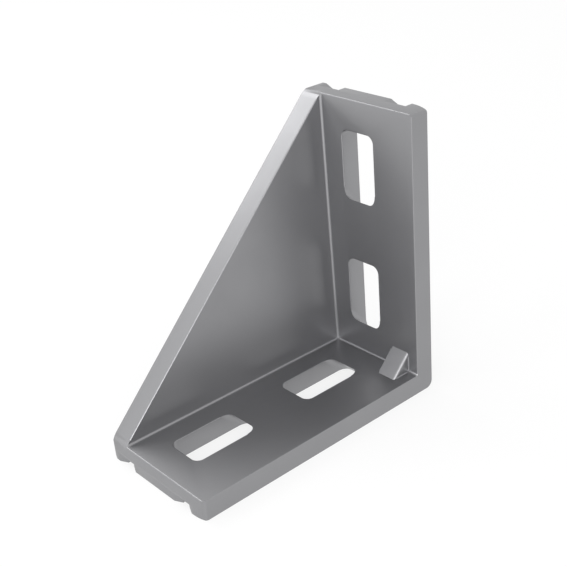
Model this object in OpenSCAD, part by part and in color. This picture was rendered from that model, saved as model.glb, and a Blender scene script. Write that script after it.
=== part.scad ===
// Corner bracket for slotted framing bars: one die-cast aluminium piece.
// Two equal legs meet at a right angle, a web closes one side, and a small rib stiffens the open side.
// Each leg carries two slots for framing bolts, and its mounting face is relieved by two channels.
// The die opens along the diagonal between the legs: the slots' heel ends slope parallel to it,
// and the web grows a little thicker away from its sloping edge.

/* [Legs] */
// Overall length of each leg, measured from the other leg's mounting face to the tip
leg_length = 88; // [80:0.5:120]
// Width of the bracket, from the outer face of the web to the open side
width = 42.4; // [41:0.2:60]
// Thickness of a leg, from its mounting face to its inner face
leg_thickness = 6.2; // [5.2:0.1:8]
// Radius of the outer edge where the legs meet
heel_radius = 2.3; // [0.5:0.1:4]

/* [Web] */
// Thickness of the web at its sloping edge
web_thickness = 7; // [4:0.1:7.5]
// Thickness that the web gains by its draft between the sloping edge and the inner corner
web_draft = 1.2; // [0.4:0.1:1.4]
// Radius that rounds the sloping edge of the web into each leg's tip
web_tip_radius = 7; // [3:0.5:8]

/* [Slots] */
// Width of a bolt slot
slot_width = 12.3; // [8:0.1:14]
// Length of a bolt slot at the inner face
slot_length = 21.2; // [18:0.1:22]
// Corner radius of a bolt slot
slot_corner_radius = 2.3; // [1:0.1:2.8]
// Angle at which the heel's end of a slot slopes through the leg
slot_end_angle = 44.74; // [10:0.01:48]
// Distance from the heel to the middle of the near slot
near_slot_centre = 26.8; // [24:0.1:30]
// Distance from the heel to the middle of the far slot
far_slot_centre = 67.5; // [60:0.1:69]

/* [Rib] */
// Width of the rib in the inner corner
rib_width = 7.1; // [3:0.1:9]
// Distance from the open side to the rib
rib_inset = 3.6; // [2:0.1:6]
// Length of the rib's foot on each leg's inner face
rib_foot = 6.5; // [4:0.1:9]
// Radius of the two long edges of the rib's slope
rib_edge_radius = 0.8; // [0.3:0.1:1.2]
// Radius of the fillets between the rib's sides and the legs
rib_fillet = 0.5; // [0.3:0.1:1]

/* [Channels] */
// Depth of the relief channels in the mounting faces
channel_depth = 2.6; // [1:0.1:3]
// Width of a relief channel
channel_width = 2.8; // [1.5:0.1:4]
// Distance from the outer face of the web to the middle of its channel
web_channel_centre = 7.1; // [6:0.1:9]
// Distance from the open side to the middle of its channel
open_channel_centre = 9.3; // [8.8:0.1:9.5]
// Width of a channel's flared mouth at the tip
mouth_width = 7.7; // [5:0.1:8]
// Angle between a mouth's walls and the line of the tip
mouth_angle = 25; // [15:1:35]

/* [Tips] */
// Depth of the upright lip at a tip, measured from the mounting face
lip_depth = 3.4; // [3.1:0.1:3.6]
// Distance by which a tip leans in between its lip and the inner face
tip_lean = 0.5; // [0.1:0.05:0.6]
// Length of the shoulder at the web's side of a tip
web_shoulder = 1.7; // [1:0.1:2.5]
// Distance by which that shoulder falls back at the web's outer face
web_shoulder_drop = 0.65; // [0.2:0.05:1]
// Length of the curved shoulder at the open side of a tip
open_shoulder = 4.6; // [3:0.1:4.8]
// Radius of the curved shoulder
open_shoulder_radius = 12.5; // [9:0.5:20]
// Radius between the curved shoulder and the open side
tip_corner_radius = 1; // [0.5:0.1:2.5]

/* [Edges] */
// Radius of the fillets in the inner corners
inner_fillet = 0.8; // [0.5:0.1:2]
// Radius of the rounded edges on the inner side
edge_radius = 0.3; // [0.2:0.05:0.5]

/* [Hidden] */
$fn = 64;

// Overrun of a cutter past the face it cuts
over = 1;
// Overlap that joins two solids of one casting
bond = 0.5;
cast_colour = [0.62, 0.62, 0.63];

// Length of a leg at its inner face
plate_length = leg_length - tip_lean;
// Angle by which a tip leans in
lean_angle = atan(tip_lean / (leg_thickness - lip_depth));
// Middle of the slots across the width
slot_centre_x = width / 2;
// Where the straight sides of a slot end: across the slot, towards the tip, and towards the heel
slot_straight_x = slot_width / 2 - slot_corner_radius;
slot_straight_tip = slot_length / 2 - slot_corner_radius;
slot_straight_heel = slot_length / 2 - slot_corner_radius / cos(slot_end_angle);
// Middles of the two channels, from the outer face of the web
channel_centres = [web_channel_centre, width - open_channel_centre];

// The sloping edge meets the leaning tip at [plate_length, leg_thickness], and an arc rounds that corner
web_setback = web_tip_radius * tan((45 - lean_angle) / 2);
web_low = [plate_length + web_setback * sin(lean_angle), leg_thickness - web_setback * cos(lean_angle)];
web_high = [plate_length - web_setback * sin(45), leg_thickness + web_setback * cos(45)];
web_arc = web_low - web_tip_radius * [cos(lean_angle), sin(lean_angle)];

// Distances along the diagonal from the heel to the web's sloping edge and to the inner corner
edge_distance = (plate_length + leg_thickness) / sqrt(2);
corner_distance = leg_thickness * sqrt(2);
// Draft of the web's inner face along the diagonal, and its rate along each leg
draft_angle = atan(web_draft / (edge_distance - corner_distance));
leg_draft_rate = tan(draft_angle) / sqrt(2);

// Places a leg drawn along +Y, with its mounting face at z = 0, on both legs of the bracket
module on_both_legs() {
  mirror([0, 1, 0]) children();
  mirror([0, 1, 1]) mirror([0, 1, 0]) children();
}

// Places a side view: its x runs along the lower leg, its y upwards and its z across the width
module side_view() {
  mirror([0, 1, 0])
    rotate([90, 0, 90])
      children();
}

// Extrudes a side profile across the width
module side_extrude(from, to) {
  translate([from, 0, 0])
    side_view()
      linear_extrude(to - from)
        children();
}

// Places a shape in a side view at both tips, whose side views are each other's mirror images
module at_both_tips() {
  children();
  mirror([1, -1, 0]) children();
}

// Concave round that fills a corner at the origin, between +x and a face that leans back from +y
module fillet_profile(radius, lean = 0) {
  reach = radius * tan((90 - lean) / 2);
  touch = reach * [-sin(lean), cos(lean)];
  difference() {
    polygon([
      [-bond, -bond],
      [reach, -bond],
      [reach, radius],
      touch,
      touch - [bond, 0]
    ]);
    translate([reach, radius]) circle(radius);
  }
}

// Cutter that rounds an edge at the origin, between a face towards -x and one that leans out from -y
module edge_profile(radius = edge_radius, lean = 0) {
  reach = radius * tan((90 - lean) / 2);
  touch = reach * [sin(lean), -cos(lean)];
  difference() {
    polygon([
      [-reach, -radius],
      [-reach, radius],
      [radius, radius],
      touch + radius * [cos(lean), sin(lean)],
      touch
    ]);
    translate([-reach, -radius]) circle(radius);
  }
}

// One leg beside the web: its outline extruded through the thickness, within its side profile
module leg() {
  intersection() {
    linear_extrude(leg_thickness) leg_outline();
    rotate([90, 0, 90]) linear_extrude(width + over) leg_side_profile();
  }
}

// Outline of a leg seen from its inner side, with a curved shoulder at the open side
module leg_outline() {
  shoulder_x = width - open_shoulder;
  shoulder_y = leg_length - open_shoulder_radius;
  corner_x = width - tip_corner_radius;
  blend_angle = asin((corner_x - shoulder_x) / (open_shoulder_radius - tip_corner_radius));
  corner_y = shoulder_y + (open_shoulder_radius - tip_corner_radius) * cos(blend_angle);
  blend = [
    shoulder_x + open_shoulder_radius * sin(blend_angle),
    shoulder_y + open_shoulder_radius * cos(blend_angle)
  ];
  polygon([
    [web_thickness, 0],
    [width, 0],
    [width, corner_y],
    [corner_x, corner_y],
    blend,
    [shoulder_x, shoulder_y],
    [shoulder_x, leg_length],
    [web_thickness, leg_length]
  ]);
  intersection() {
    translate([shoulder_x, shoulder_y]) circle(open_shoulder_radius);
    polygon([
      [shoulder_x, shoulder_y],
      1.5 * blend - 0.5 * [shoulder_x, shoulder_y],
      [shoulder_x, leg_length + over]
    ]);
  }
  translate([corner_x, corner_y]) circle(tip_corner_radius);
}

// Side profile of a leg: an upright lip, a leaning tip and a rounded inner edge
module leg_side_profile() {
  setback = edge_radius * tan((90 - lean_angle) / 2);
  round_centre = [plate_length - setback, leg_thickness - edge_radius];
  polygon([
    [0, 0],
    [leg_length, 0],
    [leg_length, lip_depth],
    [plate_length + setback * sin(lean_angle), leg_thickness - setback * cos(lean_angle)],
    round_centre,
    [plate_length - setback, leg_thickness],
    [0, leg_thickness]
  ]);
  translate(round_centre) circle(edge_radius);
}

// Side view of the web, with the heel at the origin and the sloping edge rounded into both tips
module web_profile() {
  polygon([
    [0, 0],
    [leg_length, 0],
    [leg_length, lip_depth],
    web_low,
    web_arc,
    web_high,
    [web_high[1], web_high[0]],
    [web_arc[1], web_arc[0]],
    [web_low[1], web_low[0]],
    [lip_depth, leg_length],
    [0, leg_length]
  ]);
  at_both_tips()
    intersection() {
      translate(web_arc) circle(web_tip_radius);
      polygon([
        web_arc,
        1.5 * web_low - 0.5 * web_arc,
        1.5 * web_high - 0.5 * web_arc
      ]);
    }
}

// Web, whose inner face is a plane drafted along the diagonal
module web() {
  // The face is drawn beyond the web at the sloping edge and at the heel
  far = edge_distance + over;
  intersection() {
    side_extrude(0, web_thickness + 2 * web_draft) web_profile();
    side_view()
      rotate([90, 0, 45])
        linear_extrude(2 * leg_length, center = true)
          polygon([
            [-over, -over],
            [far, -over],
            [far, web_thickness - over * tan(draft_angle)],
            [-over, web_thickness + far * tan(draft_angle)]
          ]);
  }
}

// Rib in the inner corner near the open side, with its long edges rounded and its sides filleted to the legs
module rib() {
  inner_side = width - rib_inset - rib_width;
  outer_side = width - rib_inset;
  difference() {
    union() {
      side_extrude(inner_side, outer_side) rib_profile();
      intersection() {
        side_extrude(inner_side - rib_fillet, outer_side + rib_fillet) rib_profile();
        on_both_legs()
          translate([0, leg_thickness + rib_foot + bond, leg_thickness])
            rotate([90, 0, 0])
              linear_extrude(rib_foot + 2 * bond) {
                translate([outer_side, 0]) fillet_profile(rib_fillet);
                translate([inner_side, 0]) mirror([1, 0, 0]) fillet_profile(rib_fillet);
              }
      }
    }
    rib_edge_cut(outer_side, 0);
    rib_edge_cut(inner_side, 1);
  }
}

// Side view of the rib: a right-angled triangle whose slope runs on into both legs
module rib_profile() {
  translate([leg_thickness - bond, leg_thickness - bond])
    polygon([
      [0, 0],
      [rib_foot + 2 * bond, 0],
      [0, rib_foot + 2 * bond]
    ]);
}

// Cutter that rounds one long edge of the rib's slope
module rib_edge_cut(side, mirrored) {
  length = (rib_foot + 2 * bond) * sqrt(2) + 2 * over;
  translate([side, 0, 0])
    side_view()
      translate([leg_thickness - bond, leg_thickness + rib_foot + bond])
        rotate([0, 0, -45])
          translate([-over, 0])
            rotate([90, 0, 90])
              linear_extrude(length)
                rotate([0, 0, 90])
                  mirror([0, 1 - mirrored, 0])
                    edge_profile(rib_edge_radius);
}

// Fillets between the web and the legs, and between the legs
module inner_fillets() {
  intersection() {
    side_extrude(0, width) web_profile();
    on_both_legs()
      translate([web_thickness, plate_length, leg_thickness])
        rotate([90, 0, atan(leg_draft_rate)])
          linear_extrude(plate_length - leg_thickness + bond)
            fillet_profile(inner_fillet, asin(leg_draft_rate / sqrt(1 + 2 * pow(leg_draft_rate, 2))));
  }
  side_extrude(web_thickness - bond, width)
    translate([leg_thickness, leg_thickness])
      fillet_profile(inner_fillet);
}

// Bolt slots of one leg, with rounded rims on the inner face
module slots() {
  for (centre = [near_slot_centre, far_slot_centre])
    translate([slot_centre_x, centre, 0]) {
      slot_straight_part();
      slot_sloping_end();
      slot_rim();
    }
}

// The part of a slot that goes straight through the leg, with rounded corners at the tip's end
module slot_straight_part() {
  translate([0, 0, -over])
    linear_extrude(leg_thickness + 2 * over) {
      translate([-slot_width / 2, -slot_straight_heel])
        square([slot_width, slot_straight_heel + slot_straight_tip]);
      translate([-slot_straight_x, -slot_straight_heel])
        square([2 * slot_straight_x, slot_straight_heel + slot_length / 2]);
      for (x = [-slot_straight_x, slot_straight_x])
        translate([x, slot_straight_tip]) circle(slot_corner_radius);
    }
}

// The heel's end of a slot, which slopes outwards along the diagonal in which the die opens
module slot_sloping_end() {
  below = (leg_thickness + over) / cos(slot_end_angle);
  above = slot_corner_radius * tan(slot_end_angle) + over;
  reach = slot_corner_radius + below * sin(slot_end_angle) * cos(slot_end_angle) + over;
  translate([0, -slot_length / 2, leg_thickness])
    rotate([-slot_end_angle, 0, 0])
      translate([0, 0, -below])
        linear_extrude(below + above) {
          translate([-slot_width / 2, slot_corner_radius])
            square([slot_width, reach - slot_corner_radius]);
          translate([-slot_straight_x, 0])
            square([2 * slot_straight_x, reach]);
          for (x = [-slot_straight_x, slot_straight_x])
            translate([x, slot_corner_radius]) circle(slot_corner_radius);
        }
}

// Cutter that rounds a slot's rim along both sides and round the tip's end
module slot_rim() {
  for (side = [0, 1])
    mirror([side, 0, 0]) {
      translate([slot_width / 2, slot_straight_tip, leg_thickness])
        rotate([90, 0, 0])
          linear_extrude(slot_straight_heel + slot_straight_tip)
            mirror([1, 0, 0])
              edge_profile();
      translate([slot_straight_x, slot_straight_tip, leg_thickness])
        rotate_extrude(angle = 90)
          translate([slot_corner_radius, 0])
            mirror([1, 0, 0])
              edge_profile();
    }
  translate([-slot_straight_x, slot_length / 2, leg_thickness])
    rotate([90, 0, 90])
      linear_extrude(2 * slot_straight_x)
        mirror([1, 0, 0])
          edge_profile();
}

// Relief channels in both mounting faces, each running round the heel from tip to tip
module channels() {
  for (centre = channel_centres)
    side_extrude(centre - channel_width / 2, centre + channel_width / 2)
      difference() {
        translate([-over, -over]) square(leg_length + 2 * over);
        translate([channel_depth, channel_depth]) square(leg_length + 2 * over);
      }
}

// Cuts at one tip: the channels' flared mouths, as deep as the channels, and the shoulder beside the web
module tip_cuts() {
  // Distance by which the cutters reach past the tip
  reach = 4;
  mouth_half_reach = mouth_width / 2 + reach / tan(mouth_angle);
  translate([0, leg_length, -over])
    linear_extrude(channel_depth + over)
      for (centre = channel_centres)
        polygon([
          [centre, -mouth_width / 2 * tan(mouth_angle)],
          [centre + mouth_half_reach, reach],
          [centre - mouth_half_reach, reach]
        ]);
  translate([0, leg_length, -over])
    linear_extrude(leg_thickness + 2 * over)
      polygon([
        [-web_shoulder, -2 * web_shoulder_drop],
        [web_shoulder, 0],
        [web_shoulder, reach],
        [-web_shoulder, reach]
      ]);
}

// Cutters that round the inner edges at the open side, round the inner corner too
module open_side_edges() {
  on_both_legs()
    translate([width, leg_length + over, leg_thickness])
      rotate([90, 0, 0])
        linear_extrude(leg_length + over - leg_thickness - inner_fillet)
          edge_profile();
  translate([width, -leg_thickness - inner_fillet, leg_thickness + inner_fillet])
    rotate([0, 90, 0])
      rotate_extrude(angle = 90)
        translate([inner_fillet, 0])
          mirror([1, 0, 0])
            edge_profile();
}

// Cutters that round both edges of the web's sloping side, and its outer edge round the tips
module web_edges() {
  slope_length = (web_high[0] - web_high[1]) * sqrt(2);
  side_view() {
    translate(web_high)
      rotate([0, 0, 135])
        rotate([90, 0, 90])
          linear_extrude(slope_length) {
            rotate([0, 0, 180]) edge_profile();
            translate([0, web_thickness]) rotate([0, 0, 90]) edge_profile(edge_radius, draft_angle);
          }
    at_both_tips()
      translate(web_arc)
        rotate([0, 0, lean_angle])
          rotate_extrude(angle = 45 - lean_angle)
            translate([web_tip_radius, 0])
              mirror([0, 1, 0])
                edge_profile();
  }
}

// Rounds the outer edge of the heel
module heel_cut() {
  side_extrude(-over, width + over)
    difference() {
      translate([-over, -over]) square(heel_radius + over);
      translate([heel_radius, heel_radius]) circle(heel_radius);
    }
}

// The whole casting: it stands on the lower leg, and the other leg rises at the back
module bracket() {
  color(cast_colour)
    translate([-width / 2, leg_length / 2, 0])
      difference() {
        union() {
          on_both_legs() leg();
          web();
          rib();
          inner_fillets();
        }
        on_both_legs() {
          slots();
          tip_cuts();
        }
        channels();
        heel_cut();
        open_side_edges();
        web_edges();
      }
}

bracket();
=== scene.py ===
"""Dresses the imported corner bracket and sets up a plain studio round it.

The bracket is one casting. The scene makes a finished copy of its mesh, with
the last sharp edges broken as tumbling breaks them, gives it the satin skin of
die-cast aluminium, and lights it on a pale floor.
"""
import logging
import math
from dataclasses import dataclass, field
from enum import Enum

import bpy
from mathutils import Matrix, Vector


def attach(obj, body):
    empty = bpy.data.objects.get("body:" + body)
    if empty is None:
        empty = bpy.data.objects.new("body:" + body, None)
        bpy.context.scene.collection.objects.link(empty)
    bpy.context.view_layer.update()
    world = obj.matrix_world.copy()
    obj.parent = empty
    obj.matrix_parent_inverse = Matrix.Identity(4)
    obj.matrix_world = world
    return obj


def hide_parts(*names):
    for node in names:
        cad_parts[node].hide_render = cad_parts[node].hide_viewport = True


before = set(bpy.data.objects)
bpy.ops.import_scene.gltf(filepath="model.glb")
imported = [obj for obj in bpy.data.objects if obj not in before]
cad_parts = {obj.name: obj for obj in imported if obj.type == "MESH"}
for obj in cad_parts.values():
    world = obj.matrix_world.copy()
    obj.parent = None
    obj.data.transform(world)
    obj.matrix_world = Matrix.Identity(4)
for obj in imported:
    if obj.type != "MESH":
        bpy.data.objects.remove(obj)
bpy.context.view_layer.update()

MM = 0.001
WHITE = (1.0, 1.0, 1.0, 1.0)
log = logging.getLogger("bracket")


class Slot(Enum):
    """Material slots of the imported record."""

    CAST_ALUMINIUM = "cast_aluminium"


class Node(Enum):
    """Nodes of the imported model."""

    BRACKET = "bracket"


def linear(hex_colour: str) -> tuple[float, float, float, float]:
    """Turns an sRGB hex colour into linear RGBA.

    Args:
        hex_colour: The colour as "#rrggbb".

    Returns:
        Red, green, blue and an alpha of 1, linear.
    """
    channels = (int(hex_colour[i:i + 2], 16) / 255 for i in (1, 3, 5))
    red, green, blue = (
        c / 12.92 if c <= 0.04045 else ((c + 0.055) / 1.055) ** 2.4
        for c in channels)
    return red, green, blue, 1.0


def add_node(
        tree: bpy.types.NodeTree, kind: str, settings: dict, links: dict) -> bpy.types.Node:
    """Adds one node to a tree.

    Args:
        tree: The node tree.
        kind: The node's type name.
        settings: Attribute values by name, or input values by socket name or index.
        links: Output sockets by the input's socket name or index.

    Returns:
        The new node.
    """
    node = tree.nodes.new(kind)
    for name, value in settings.items():
        if isinstance(name, str) and hasattr(node, name):
            setattr(node, name, value)
        else:
            node.inputs[name].default_value = value
    for name, socket in links.items():
        tree.links.new(socket, node.inputs[name])
    return node


def seen_ray(tree: bpy.types.NodeTree) -> bpy.types.NodeSocket:
    """Tells the rays that show a surface from those that only light by it.

    Args:
        tree: The node tree of the surface or world.

    Returns:
        A socket that is 1 for camera, glossy and transmission rays, and 0 for others.
    """
    ray = add_node(tree, "ShaderNodeLightPath", {}, {})
    seen = add_node(
        tree, "ShaderNodeMath", {"operation": "MAXIMUM"},
        {0: ray.outputs["Is Camera Ray"], 1: ray.outputs["Is Glossy Ray"]})
    seen_through = add_node(
        tree, "ShaderNodeMath", {"operation": "MAXIMUM"},
        {0: seen.outputs[0], 1: ray.outputs["Is Transmission Ray"]})
    return seen_through.outputs[0]


def deselect_all() -> None:
    """Leaves object mode with nothing selected."""
    if bpy.context.object and bpy.context.object.mode != "OBJECT":
        bpy.ops.object.mode_set(mode="OBJECT")
    bpy.ops.object.select_all(action="DESELECT")


def make_active(piece: bpy.types.Object) -> None:
    """Selects one piece alone and makes it the active object.

    Args:
        piece: The piece that the next operator works on.
    """
    deselect_all()
    piece.select_set(True)
    bpy.context.view_layer.objects.active = piece


@dataclass(frozen=True)
class CastAluminium:
    """Die-cast aluminium alloy, vibratory finished: an even, neutral satin grey.

    The cast skin is smooth, so it mirrors its surroundings softly and shows
    broad gradients. A closer look finds the fine grain that the tumbling media
    leaves and faint clouds where the die's skin varied.
    """

    name: str = "cast_aluminium_satin"
    colour: str = "#98989a"
    cloud_colour: str = "#929294"
    roughness: float = 0.39
    roughness_spread: float = 0.04
    cloud_size_mm: float = 14.0
    cloud_detail: float = 3.0
    cloud_contrast: float = 0.5
    grain_size_mm: float = 0.35
    grain_detail: float = 2.0
    grain_contrast: float = 0.6
    grain_height_mm: float = 0.004
    grain_strength: float = 0.35

    def material(self) -> bpy.types.Material:
        """Builds the material.

        Returns:
            The new material, on Object coordinates.
        """
        made = bpy.data.materials.new(self.name)
        made.use_nodes = True
        tree = made.node_tree
        tree.nodes.clear()
        place = add_node(tree, "ShaderNodeTexCoord", {}, {}).outputs["Object"]
        clouds = add_node(
            tree, "ShaderNodeTexNoise",
            {"Scale": 1 / (self.cloud_size_mm * MM), "Detail": self.cloud_detail,
             "Roughness": self.cloud_contrast},
            {"Vector": place})
        tone = add_node(
            tree, "ShaderNodeMix",
            {"data_type": "RGBA", 6: linear(self.colour), 7: linear(self.cloud_colour)},
            {0: clouds.outputs["Fac"]})
        gloss = add_node(
            tree, "ShaderNodeMapRange",
            {"To Min": self.roughness - self.roughness_spread,
             "To Max": self.roughness + self.roughness_spread},
            {"Value": clouds.outputs["Fac"]})
        grain = add_node(
            tree, "ShaderNodeTexNoise",
            {"Scale": 1 / (self.grain_size_mm * MM), "Detail": self.grain_detail,
             "Roughness": self.grain_contrast},
            {"Vector": place})
        relief = add_node(
            tree, "ShaderNodeBump",
            {"Strength": self.grain_strength, "Distance": self.grain_height_mm * MM},
            {"Height": grain.outputs["Fac"]})
        skin = add_node(
            tree, "ShaderNodeBsdfPrincipled",
            {"Metallic": 1.0},
            {"Base Color": tone.outputs[2], "Roughness": gloss.outputs["Result"],
             "Normal": relief.outputs["Normal"]})
        add_node(tree, "ShaderNodeOutputMaterial", {}, {"Surface": skin.outputs["BSDF"]})
        return made


@dataclass(frozen=True)
class StudioPaper:
    """Seamless white background paper: matt and even, so it shows white and keeps a soft shadow."""

    name: str = "studio_paper"
    colour: str = "#f2f2f2"
    roughness: float = 0.9
    lift: float = 0.8

    def material(self) -> bpy.types.Material:
        """Builds the material.

        Returns:
            The new material: lit paper that still takes a shadow, lifted to white in view.
        """
        made = bpy.data.materials.new(self.name)
        made.use_nodes = True
        tree = made.node_tree
        tree.nodes.clear()
        share = add_node(
            tree, "ShaderNodeMath", {"operation": "MULTIPLY", 1: self.lift},
            {0: seen_ray(tree)})
        paper = add_node(
            tree, "ShaderNodeBsdfPrincipled",
            {"Base Color": linear(self.colour), "Roughness": self.roughness}, {})
        white = add_node(tree, "ShaderNodeEmission", {"Color": WHITE, "Strength": 1.0}, {})
        blend = add_node(
            tree, "ShaderNodeMixShader", {},
            {0: share.outputs[0], 1: paper.outputs["BSDF"], 2: white.outputs["Emission"]})
        add_node(tree, "ShaderNodeOutputMaterial", {}, {"Surface": blend.outputs["Shader"]})
        return made


@dataclass
class Casting:
    """The bracket itself: the node's mesh with its last sharp edges broken."""

    finish: CastAluminium = field(default_factory=CastAluminium)
    edge_break_mm: float = 0.15
    edge_break_steps: int = 2
    sharp_from_deg: float = 50.0
    smooth_below_deg: float = 32.0
    merge_mm: float = 0.001
    flat_within_deg: float = 0.4
    creases_mm: tuple[tuple[float, float], ...] = ((-44.0, 3.4), (40.6, 88.0))
    crease_reach_mm: float = 0.02
    piece: bpy.types.Object | None = None

    def build(self) -> bpy.types.Object:
        """Copies the node's mesh, merges it and breaks its sharp edges.

        Returns:
            The finished piece, with its place in its mesh.
        """
        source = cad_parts[Node.BRACKET.value]
        self.piece = bpy.data.objects.new("bracket_casting", source.data.copy())
        bpy.context.scene.collection.objects.link(self.piece)
        self._merge_facets()
        self._break_edges()
        return self.piece

    def _merge_facets(self) -> None:
        """Joins the loose triangles and dissolves those that lie in one plane."""
        make_active(self.piece)
        bpy.ops.mesh.customdata_custom_splitnormals_clear()
        bpy.ops.object.mode_set(mode="EDIT")
        bpy.ops.mesh.select_all(action="SELECT")
        bpy.ops.mesh.remove_doubles(threshold=self.merge_mm * MM)
        bpy.ops.mesh.dissolve_limited(angle_limit=math.radians(self.flat_within_deg))
        bpy.ops.object.mode_set(mode="OBJECT")

    def _break_edges(self) -> None:
        """Bevels the sharp edges that the casting's own rounds leave, and smooths the rounds."""
        bevel = self.piece.modifiers.new("edge_break", "BEVEL")
        bevel.width = self.edge_break_mm * MM
        bevel.segments = self.edge_break_steps
        bevel.limit_method = "ANGLE"
        bevel.angle_limit = math.radians(self.sharp_from_deg)
        bevel.use_clamp_overlap = True
        bevel.harden_normals = False
        make_active(self.piece)
        bpy.ops.object.modifier_apply(modifier=bevel.name)
        bpy.ops.object.shade_smooth_by_angle(angle=math.radians(self.smooth_below_deg))
        self._keep_creases()

    def _keep_creases(self) -> None:
        """Keeps the shallow crease across each tip sharp, where the upright lip starts to lean."""
        points = self.piece.data.vertices
        for edge in self.piece.data.edges:
            ends = [points[i].co / MM for i in edge.vertices]
            edge.use_edge_sharp = edge.use_edge_sharp or any(
                all(max(abs(end.y - y), abs(end.z - z)) < self.crease_reach_mm for end in ends)
                for y, z in self.creases_mm)

    def dress(self) -> None:
        """Gives the piece its finish and its place in the frame."""
        self.piece.data.materials.clear()
        self.piece.data.materials.append(self.finish.material())
        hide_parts(Node.BRACKET.value)
        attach(self.piece, "root")


@dataclass
class Lamp:
    """One softbox, aimed at the middle of the object."""

    name: str
    place_mm: tuple[float, float, float]
    width_mm: float
    height_mm: float
    power_w: float
    aim_mm: tuple[float, float, float] = (0.0, 0.0, 40.0)

    def build(self) -> bpy.types.Object:
        """Adds the softbox.

        Returns:
            The lamp object.
        """
        light = bpy.data.lights.new(self.name, "AREA")
        light.shape = "RECTANGLE"
        light.size = self.width_mm * MM
        light.size_y = self.height_mm * MM
        light.energy = self.power_w
        lamp = bpy.data.objects.new(self.name, light)
        bpy.context.scene.collection.objects.link(lamp)
        place = Vector(self.place_mm) * MM
        lamp.location = place
        sight = Vector(self.aim_mm) * MM - place
        lamp.rotation_euler = sight.to_track_quat("-Z", "Y").to_euler()
        return lamp


@dataclass
class Studio:
    """Pale floor, white surroundings and softboxes."""

    paper: StudioPaper = field(default_factory=StudioPaper)
    floor_mm: float = 6000.0
    world_light: float = 0.8
    lamps: tuple[Lamp, ...] = (
        Lamp("softbox_left", (-715.0, -100.0, 735.0), 500.0, 500.0, 2.3),
        Lamp("panel_front_right", (900.0, -970.0, 460.0), 1200.0, 800.0, 14.5),
        Lamp("panel_front_left", (-360.0, -1080.0, 400.0), 800.0, 800.0, 3.6),
    )

    def build(self) -> None:
        """Adds the floor, the world and the lamps."""
        self._floor()
        self._world()
        for lamp in self.lamps:
            lamp.build()

    def _floor(self) -> None:
        """Lays the paper under the object."""
        deselect_all()
        bpy.ops.mesh.primitive_plane_add(size=self.floor_mm * MM, location=(0.0, 0.0, 0.0))
        floor = bpy.context.object
        floor.name = "studio_floor"
        floor.data.materials.append(self.paper.material())

    def _world(self) -> None:
        """Surrounds the object with white, which lights it a little less than it shows."""
        world = bpy.data.worlds.new("studio_world")
        bpy.context.scene.world = world
        world.use_nodes = True
        tree = world.node_tree
        tree.nodes.clear()
        strength = add_node(
            tree, "ShaderNodeMapRange",
            {"To Min": self.world_light, "To Max": 1.0},
            {"Value": seen_ray(tree)})
        white = add_node(
            tree, "ShaderNodeBackground", {"Color": WHITE},
            {"Strength": strength.outputs["Result"]})
        add_node(tree, "ShaderNodeOutputWorld", {}, {"Surface": white.outputs["Background"]})


@dataclass(frozen=True)
class PhotoCamera:
    """The camera that took the photograph, solved from the object's edges."""

    target_mm: tuple[float, float, float] = (-45.975, 44.0, 12.666)
    azimuth_deg: float = 50.821
    elevation_deg: float = 26.826
    roll_deg: float = -4.986
    distance_mm: float = 365.57
    lens_mm: float = 67.54
    sensor_mm: float = 36.0
    near_mm: float = 10.0

    def build(self) -> bpy.types.Object:
        """Adds the camera and makes it the scene's camera.

        Returns:
            The camera object.
        """
        azimuth, elevation, roll = (
            math.radians(angle) for angle in (self.azimuth_deg, self.elevation_deg, self.roll_deg))
        back = Vector((
            math.sin(azimuth) * math.cos(elevation),
            -math.cos(azimuth) * math.cos(elevation),
            math.sin(elevation)))
        level = Vector((math.cos(azimuth), math.sin(azimuth), 0.0))
        upright = back.cross(level)
        right = level * math.cos(roll) + upright * math.sin(roll)
        up = upright * math.cos(roll) - level * math.sin(roll)
        lens = bpy.data.cameras.new("photo_camera")
        lens.lens = self.lens_mm
        lens.sensor_width = self.sensor_mm
        lens.sensor_fit = "HORIZONTAL"
        lens.clip_start = self.near_mm * MM
        camera = bpy.data.objects.new("photo_camera", lens)
        bpy.context.scene.collection.objects.link(camera)
        place = (Vector(self.target_mm) + back * self.distance_mm) * MM
        turn = Matrix((right, up, back)).transposed().to_4x4()
        camera.matrix_world = Matrix.Translation(place) @ turn
        bpy.context.scene.camera = camera
        return camera


def main() -> None:
    """Builds the casting, the studio and the camera."""
    logging.basicConfig(level=logging.INFO, format="%(name)s: %(message)s")
    bpy.context.scene.view_settings.view_transform = "Standard"
    casting = Casting()
    piece = casting.build()
    casting.dress()
    log.info("%s: %d faces", piece.name, len(piece.data.polygons))
    studio = Studio()
    studio.build()
    log.info("studio: floor, world and %d lamps", len(studio.lamps))
    camera = PhotoCamera().build()
    log.info("%s: lens %.2f mm", camera.name, camera.data.lens)


if __name__ == "__main__":
    main()
